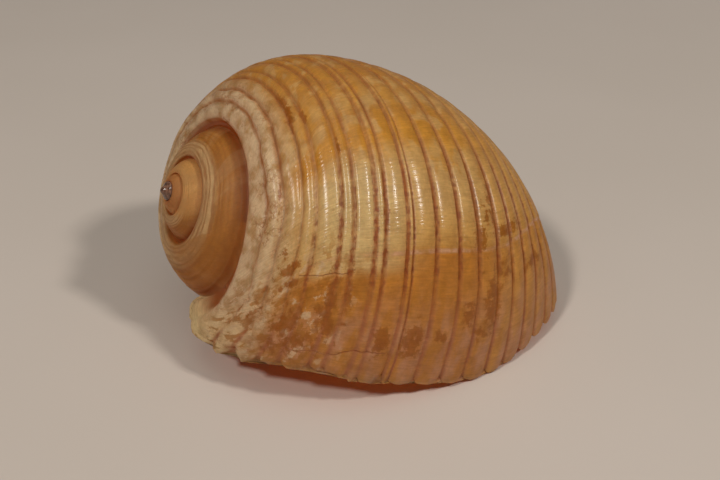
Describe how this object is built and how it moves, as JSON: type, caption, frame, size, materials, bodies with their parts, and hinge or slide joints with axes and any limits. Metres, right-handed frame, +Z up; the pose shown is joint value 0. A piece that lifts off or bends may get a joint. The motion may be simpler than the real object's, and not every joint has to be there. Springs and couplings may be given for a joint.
{
  "type": "sea snail shell",
  "caption": "Large globose sea snail shell with broad spiral ribs, a low pointed spire and a wide open mouth, lying on its mouth.",
  "frame": {"origin": "middle of the bounding box's bottom, on the surface that the shell lies on", "axes": "+X from the raised spire towards the siphon's end, -Y towards the outer lip, +Z up with the mouth facing down"},
  "size_m": [0.1368, 0.12, 0.0914],
  "materials": {
    "shell_carbonate": "natural shell: semi-gloss ribs, brown grooves, chalky worn shoulder"
  },
  "bodies": {
    "root": {"shell": "shell_carbonate"}
  },
  "joints": []
}
